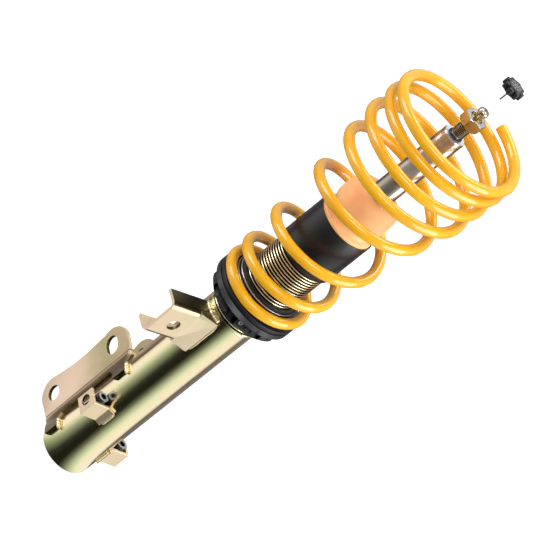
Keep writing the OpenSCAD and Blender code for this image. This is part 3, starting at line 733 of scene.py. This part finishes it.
def coil_radius(u):
    """The coil's radius after u turns, which grows to the top radius and stays there."""
    return COIL_LOW_R + (COIL_TOP_R - COIL_LOW_R) * min(1.0, max(0.0, u / COIL_GROWTH) ** 1.5)


def wire_centre(u):
    """The wire's centre after u turns, in metres."""
    turn = math.radians(360 * u + COIL_FROM_ANGLE)
    return ((AXIS_X + coil_radius(u) * math.cos(turn)) * MM,
            coil_radius(u) * math.sin(turn) * MM,
            up(COIL_Z + coil_height(u)))


def powder_coat(name, colour, deep, rough):
    """Thick gloss coat over wire: an even colour with a faint orange-peel skin."""
    mat, nodes, links, skin, place = wiring(name)
    cloud = grain(nodes, links, place, 30.0, 2.0)
    coloured(nodes, links, skin, cloud, [(0.3, deep), (0.62, colour)])
    skin.inputs["Roughness"].default_value = rough
    skin.inputs["Specular IOR Level"].default_value = 0.2
    skin.inputs["Coat Weight"].default_value = 0.85
    skin.inputs["Coat Roughness"].default_value = 0.1
    raised(nodes, links, skin, grain(nodes, links, place, 520.0, 2.0), 0.06)
    return mat


POWDER_YELLOW = powder_coat("powder_yellow", shade(237, 174, 6), shade(229, 161, 3), 0.34)

coil_steps = int((COIL_TO - COIL_FROM) * COIL_CUT)
coil_turns = [COIL_FROM + (COIL_TO - COIL_FROM) * i / coil_steps for i in range(coil_steps + 1)]
wire = swept("coil_spring_wound", [(wire_centre(u), 1.0) for u in coil_turns],
             WIRE_R, rounding=6, smooth=50, twist="Z_UP")
dress(wire, POWDER_YELLOW)
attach(wire, "perch")
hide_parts("coil_spring")
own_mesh(wire)


# ----------------------------------------------- dust tube and bump stop
# A thin plastic tube over the top of the sleeve, closed by one foam buffer
# on the rod: a plug in the tube's mouth, a flange, a neck and a round lobe.

DUST_IN_R, DUST_OUT_R = 27.2, 28.4
DUST_LOW, DUST_TOP = 314, 363.5
STOP_BORE_R = 11.3
STOP_LOW = 332
STOP_PLUG_R = 23.15
STOP_FLANGE_R = 27.1
STOP_FLANGE_Z = 344
STOP_TOP = 401.0


def satin_plastic(name, colour, rough):
    """Extruded or moulded plastic with a fine satin skin."""
    mat, nodes, links, skin, place = wiring(name)
    fine = grain(nodes, links, place, 700.0, 3.0)
    coloured(nodes, links, skin, fine, [(0.3, darker(colour, 0.85)), (0.7, colour)])
    skin.inputs["Roughness"].default_value = rough
    raised(nodes, links, skin, fine, 0.03)
    return mat


def buffer_foam(name, light, deep):
    """Closed-cell foam with a moulded skin: tiny cells and a soft, even tone."""
    mat, nodes, links, skin, place = wiring(name)
    cells = nodes.new("ShaderNodeTexVoronoi")
    cells.inputs["Scale"].default_value = 1300.0
    links.new(place, cells.inputs["Vector"])
    cloud = grain(nodes, links, place, 45.0, 4.0)
    coloured(nodes, links, skin, cloud, [(0.32, deep), (0.6, light)])
    skin.inputs["Roughness"].default_value = 0.62
    skin.inputs["Subsurface Weight"].default_value = 0.08
    skin.inputs["Subsurface Scale"].default_value = 0.004
    raised(nodes, links, skin, cells.outputs["Distance"], 0.12)
    return mat


SATIN_BLACK = satin_plastic("satin_black", shade(28, 27, 30), 0.34)
ORANGE_FOAM = buffer_foam("orange_foam", shade(255, 198, 138), shade(252, 182, 120))

dust_wall = [(DUST_IN_R, DUST_LOW), (DUST_OUT_R, DUST_LOW),
             (DUST_OUT_R, DUST_TOP), (DUST_IN_R, DUST_TOP)]
dust = turned("dust_tube_drawn", dust_wall, cut=128, round_edges=0.3, looped=True)
dress(dust, SATIN_BLACK)
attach(dust, "buffer")
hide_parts("dust_tube")

stop_plug = [(STOP_BORE_R, STOP_LOW), (STOP_PLUG_R, STOP_LOW), (STOP_PLUG_R, STOP_FLANGE_Z),
             (STOP_FLANGE_R, STOP_FLANGE_Z), (STOP_FLANGE_R, 363.6), (26.9, 363.6)]
stop_neck = [(26.9, 364.4), (26.6, 365.6), (25.8, 366.4), (24.2, 367.0), (23.0, 367.8),
             (22.5, 369.0), (22.5, 370.2), (23.2, 372.0), (24.4, 374.2), (25.4, 376.4)]
stop_lobe = [(26.0, 378.6), (26.25, 380.8), (26.3, 383.0), (26.1, 387.0), (25.7, 391.5),
             (25.3, 395.0), (24.9, 397.2), (23.8, 399.2), (22.2, 400.4), (20.2, STOP_TOP)]
stop_mouth = [(STOP_BORE_R + 1.3, STOP_TOP), (STOP_BORE_R + 0.3, STOP_TOP - 0.3),
              (STOP_BORE_R, STOP_TOP - 1.2)]
stop = turned("bump_stop_moulded", stop_plug + stop_neck + stop_lobe + stop_mouth,
              cut=112, smooth=60, looped=True)
dress(stop, ORANGE_FOAM)
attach(stop, "buffer")
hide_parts("bump_stop")


# ------------------------------------------------- rod, top nut and needle
# The 22 mm rod, ground and chromed, steps down to a threaded stud with a ring at
# its foot painted black as shade, and ends in a drilled tip. The rebound needle
# runs in its bore. The nut is zinc plated; the neck is painted in the nut's zinc as
# a reflection, and the nut's top and the rod's shoulder are painted bright as a highlight.

ROD_R = 11
ROD_BORE_R = 2.65
ROD_LOW = 236
ROD_STEP = 264
SHOULDER_Z = 488.5
STUD_FOOT_R = 7.0
STUD_FOOT_TOP = 489.6
STUD_R = 6.0
STUD_ROOT_R = 5.4
STUD_CORE_R = 5.55
STUD_END = 513.5
STUD_LEAD = 1.5
STUD_TURNS = 15
NECK_R = 3.9
NECK_END = 517.8
TIP_R = 4.9
TIP_END = 523.0
NUT_TOP_Z = 511.0


def hard_chrome(name, colour, rough):
    """Ground and chromed bar: an even tone with fine upright marks."""
    mat, nodes, links, skin, place = wiring(name)
    fine = grain(nodes, links, place, 400.0, 2.0, (1, 1, 0.1))
    coloured(nodes, links, skin, fine, [(0.3, darker(colour, 0.94)), (0.7, colour)])
    skin.inputs["Metallic"].default_value = 1.0
    worn(nodes, links, skin, fine, rough - 0.02, rough + 0.03)
    return mat


# the nut's zinc, also painted on the rod's neck as a reflection
NUT_ZINC_AND_NECK_REFLECTION = yellow_zinc("yellow_zinc_nut_and_painted_neck_reflection", shade(184, 158, 112), shade(168, 138, 96),
                       shade(156, 146, 92), rough=0.28)
CHROME = hard_chrome("hard_chrome", shade(182, 174, 164), 0.22)
# painted highlight for the shoulder's upward face
SHOULDER_PAINTED_HIGHLIGHT = bright_steel("shoulder_painted_highlight", shade(196, 196, 206), 0.5)
# painted shade for the ring at the stud's foot
STUD_FOOT_PAINTED_SHADE = satin_plastic("stud_foot_painted_shade", shade(20, 18, 18), 0.4)

rod_bar = [(ROD_BORE_R, ROD_LOW), (STUD_R, ROD_LOW), (STUD_R, ROD_STEP), (ROD_R, ROD_STEP),
           (ROD_R, SHOULDER_Z - 1.2), (ROD_R - 0.8, SHOULDER_Z)]
rod_stud = [(STUD_FOOT_R, SHOULDER_Z), (STUD_FOOT_R - 0.1, STUD_FOOT_TOP), (STUD_CORE_R, STUD_FOOT_TOP),
            (STUD_CORE_R, STUD_END - 0.9), (5.0, STUD_END), (NECK_R, STUD_END)]
rod_tip = [(NECK_R, NECK_END), (4.3, NECK_END + 0.6), (4.75, NECK_END + 1.0), (TIP_R, NECK_END + 1.6),
           (TIP_R, TIP_END - 1.8), (4.6, TIP_END - 0.8), (3.9, TIP_END - 0.2), (3.2, TIP_END),
           (ROD_BORE_R, TIP_END - 0.4)]
shaft = turned("rod_shaft", rod_bar + rod_stud + rod_tip, looped=True)
dress(shaft, CHROME)
# painted reflection: the neck takes the nut's zinc colour
capped(shaft, NUT_ZINC_AND_NECK_REFLECTION, lambda at, way: up(STUD_END - 0.3) < at.z < up(NECK_END + 0.2))
# painted highlight on the shoulder's upward face
capped(shaft, SHOULDER_PAINTED_HIGHLIGHT, lambda at, way: way.z > 0.9 and abs(at.z - up(SHOULDER_Z)) < 1e-4)
# painted shade: the ring at the stud's foot is black
capped(shaft, STUD_FOOT_PAINTED_SHADE, lambda at, way: up(SHOULDER_Z + 0.1) < at.z < up(STUD_FOOT_TOP + 0.2))
stud = threaded("stud_thread", STUD_R, STUD_ROOT_R, STUD_FOOT_TOP + 0.2, STUD_LEAD, STUD_TURNS)
# painted shade in the stud thread's grooves
dress(stud, thread_with_painted_shade("steel_thread_painted_shade", shade(16, 15, 15), shade(32, 30, 29), shade(76, 73, 71),
                       STUD_ROOT_R, STUD_R, rough=0.3))
shaft = joined("piston_rod_ground", [shaft, stud])
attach(shaft, "rod")
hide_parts("piston_rod")

nut = cleaned_copy("top_nut", "top_nut_forged", 0.25)
dress(nut, NUT_ZINC_AND_NECK_REFLECTION)
# painted highlight: the nut's upward top faces are bright steel
capped(nut, STEEL_AND_HIGHLIGHT, lambda at, way: at.z > up(NUT_TOP_Z) and way.z > 0.3)
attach(nut, "rod")
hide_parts("top_nut")

dress(bpy.data.objects["adjuster_needle"], STEEL_AND_HIGHLIGHT)


# ----------------------------------------------------------- rebound knob
# A small turned knob with eight lobes, a flat dial let into its face and a
# hexagon pin below that plugs into the needle. It is kept off the tip here.

DIAL_TICKS = 10
TICK_HALF_ANGLE = 0.09
TICK_RING = (3.4, 5.2)
HUB_RING = (1.4, 2.0)


def dial_marks(name, ground, mark):
    """A dark dial with a ring of plain ticks round a small ring at its centre."""
    mat, nodes, links, skin, place = wiring(name)
    centred = from_axis(nodes, links, place)
    sides = nodes.new("ShaderNodeSeparateXYZ")
    links.new(centred, sides.inputs[0])
    reach = axis_distance(nodes, links, centred)

    def step(kind, a, b):
        return maths(nodes, links, kind, a, b)

    def ring(low, high):
        outside = step("GREATER_THAN", reach, low * MM)
        return step("MULTIPLY", outside, step("LESS_THAN", reach, high * MM))

    turn = step("ARCTAN2", sides.outputs["Y"], sides.outputs["X"])
    tick = step("LESS_THAN", step("PINGPONG", turn, math.pi / DIAL_TICKS), TICK_HALF_ANGLE)
    shown = step("MAXIMUM", step("MULTIPLY", tick, ring(*TICK_RING)), ring(*HUB_RING))
    coloured(nodes, links, skin, shown, [(0.0, ground), (1.0, mark)])
    skin.inputs["Roughness"].default_value = 0.4
    return mat


MARKED_DIAL = dial_marks("marked_dial", shade(52, 52, 54), shade(150, 150, 150))
DARK_STEEL = bright_steel("dark_steel", shade(150, 150, 154), 0.4)

knob = cleaned_copy("knob", "knob_turned", 0.25)
dress(knob, ANODISED)
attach(knob, "knob")
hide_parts("knob")

dress(bpy.data.objects["knob_dial"], MARKED_DIAL)
dress(bpy.data.objects["knob_pin"], DARK_STEEL)


# ------------------------------------------------------- inside the damper
# Pressure tube, valves, guide, seal and piston. None of it shows until the
# housing is opened, so the solids serve, in the metals that they have.

BRONZE = bright_steel("sintered_bronze", shade(196, 152, 96), 0.45)
for node in ("pressure_tube", "base_valve", "base_shims", "rod_guide", "gland_nut",
             "rebound_stop", "piston", "compression_shims", "rebound_shims", "piston_nut"):
    dress(bpy.data.objects[node], STEEL_AND_HIGHLIGHT)
dress(bpy.data.objects["guide_bush"], BRONZE)
dress(bpy.data.objects["rod_seal"], BLACK_RUBBER)
dress(bpy.data.objects["piston_band"], SATIN_BLACK)


# -------------------------------------------------- floor, light and camera
# A white floor in a white room, lit by four soft boxes. Polished metal sees a
# wheel of light and dark cards in place of the floor, so the tube shows form.

WHITE = (1, 1, 1, 1)
FLOOR_GLOW = 0.92
FLOOR_DROP = 0.3
ROOM_SEEN = 1.0
ROOM_LIGHT = 0.39
ROOM_MIRRORED = 0.6
LAMP_TARGET = (AXIS_X * MM, 0, 0.24)


def by_ray(nodes, links, kind, others, hits):
    """One shader for rays of a kind, and another for all the others."""
    ray = nodes.new("ShaderNodeLightPath")
    choose = nodes.new("ShaderNodeMixShader")
    links.new(ray.outputs[kind], choose.inputs["Fac"])
    links.new(others, choose.inputs[1])
    links.new(hits, choose.inputs[2])
    return choose.outputs[0]


def studio_floor():
    """White to the eye, pale to soft light, and a wheel of light and dark cards round
    the strut to what is polished."""
    mat = bpy.data.materials.new("studio_floor")
    mat.use_nodes = True
    nodes, links = mat.node_tree.nodes, mat.node_tree.links
    nodes.clear()
    out = nodes.new("ShaderNodeOutputMaterial")
    pale = nodes.new("ShaderNodeBsdfDiffuse")
    pale.inputs["Color"].default_value = (0.3, 0.3, 0.3, 1)
    glow = nodes.new("ShaderNodeEmission")
    glow.inputs["Color"].default_value = WHITE
    glow.inputs["Strength"].default_value = FLOOR_GLOW
    white = nodes.new("ShaderNodeAddShader")
    links.new(pale.outputs[0], white.inputs[0])
    links.new(glow.outputs[0], white.inputs[1])
    dull = nodes.new("ShaderNodeBsdfDiffuse")
    dull.inputs["Color"].default_value = (0.5, 0.5, 0.5, 1)
    place = nodes.new("ShaderNodeTexCoord").outputs["Object"]
    turn = nodes.new("ShaderNodeMapping")
    turn.inputs["Rotation"].default_value = (0, 0, math.radians(45))
    links.new(from_axis(nodes, links, place), turn.inputs["Vector"])
    wheel = nodes.new("ShaderNodeTexGradient")
    wheel.gradient_type = "RADIAL"
    links.new(turn.outputs["Vector"], wheel.inputs["Vector"])
    cards = ramp(nodes, links, wheel.outputs["Fac"], [
        (0.03, (0.38, 0.35, 0.34, 1)), (0.10, (0.33, 0.29, 0.3, 1)), (0.155, (0.29, 0.24, 0.25, 1)),
        (0.190, (0.10, 0.06, 0.05, 1)), (0.208, (0.09, 0.06, 0.04, 1)), (0.226, (0.96, 0.9, 0.9, 1)),
        (0.25, WHITE), (0.30, WHITE),
        (0.345, (0.62, 0.72, 0.60, 1)), (0.375, (0.36, 0.45, 0.34, 1)), (0.42, (0.15, 0.19, 0.15, 1)),
        (0.455, (0.035, 0.04, 0.03, 1)), (0.50, (0.012, 0.014, 0.01, 1)),
        (0.545, (0.014, 0.017, 0.01, 1)), (0.58, (0.13, 0.16, 0.12, 1)),
        (0.625, (0.50, 0.60, 0.50, 1)), (0.67, (0.85, 0.98, 0.86, 1)), (0.71, WHITE),
        (0.787, WHITE), (0.812, (0.13, 0.09, 0.07, 1)), (0.85, (0.17, 0.15, 0.17, 1)),
        (0.90, (0.22, 0.21, 0.25, 1)), (0.97, (0.25, 0.25, 0.3, 1))])
    seen = nodes.new("ShaderNodeEmission")
    links.new(cards, seen.inputs["Color"])
    bounced = by_ray(nodes, links, "Is Glossy Ray", dull.outputs[0], seen.outputs[0])
    surface = by_ray(nodes, links, "Is Camera Ray", bounced, white.outputs[0])
    links.new(surface, out.inputs["Surface"])
    return mat


clear_choice()
bpy.ops.mesh.primitive_plane_add(size=16, location=(0, 0, 0))
floor = bpy.context.object
floor.name = "floor"
floor.data.transform(Matrix.Translation((0, 0, up(-FLOOR_DROP))))
floor.data.materials.append(studio_floor())

room = bpy.data.worlds.new("white_room")
bpy.context.scene.world = room
room.use_nodes = True
sky, sky_links = room.node_tree.nodes, room.node_tree.links
sky.clear()


def room_light(strength):
    """A white background of one strength."""
    light = sky.new("ShaderNodeBackground")
    light.inputs["Color"].default_value = WHITE
    light.inputs["Strength"].default_value = strength
    return light.outputs[0]


room_out = sky.new("ShaderNodeOutputWorld")
bounced = by_ray(sky, sky_links, "Is Glossy Ray", room_light(ROOM_LIGHT), room_light(ROOM_MIRRORED))
surface = by_ray(sky, sky_links, "Is Camera Ray", bounced, room_light(ROOM_SEEN))
sky_links.new(surface, room_out.inputs["Surface"])


def soft_box(name, place, wide, tall, power):
    """A lamp with a broad white face, turned to the strut's middle."""
    clear_choice()
    bpy.ops.object.light_add(type="AREA", location=place)
    lamp = bpy.context.object
    lamp.name = name
    lamp.data.shape = "RECTANGLE"
    lamp.data.size = wide
    lamp.data.size_y = tall
    lamp.data.energy = power
    way = Vector(LAMP_TARGET) - Vector(place)
    lamp.rotation_euler = way.to_track_quat("-Z", "Y").to_euler()


soft_box("key_box", (0.82, -0.78, 2.15), wide=0.8, tall=0.5, power=14.5)
soft_box("left_box", (-1.2, -1.7, 1.1), wide=1.0, tall=1.4, power=29)
soft_box("right_box", (1.7, 1.2, 0.9), wide=1.5, tall=1.9, power=56)
soft_box("top_box", (-0.7, 0.7, 2.2), wide=1.4, tall=1.0, power=26)

bpy.ops.object.camera_add()
camera = bpy.context.object
camera.name = "camera"
camera.data.sensor_width = 36
camera.data.lens = 194.15
camera.data.clip_start = 0.05
camera.data.clip_end = 60
camera.matrix_world = Matrix(((0.171056, -0.770786, 0.613701, 1.59679),
                              (0.715704, -0.330874, -0.615053, -1.55179),
                              (0.677131, 0.544437, 0.495057, 1.51225),
                              (0, 0, 0, 1)))
bpy.context.scene.camera = camera
bpy.context.scene.view_settings.view_transform = "Standard"
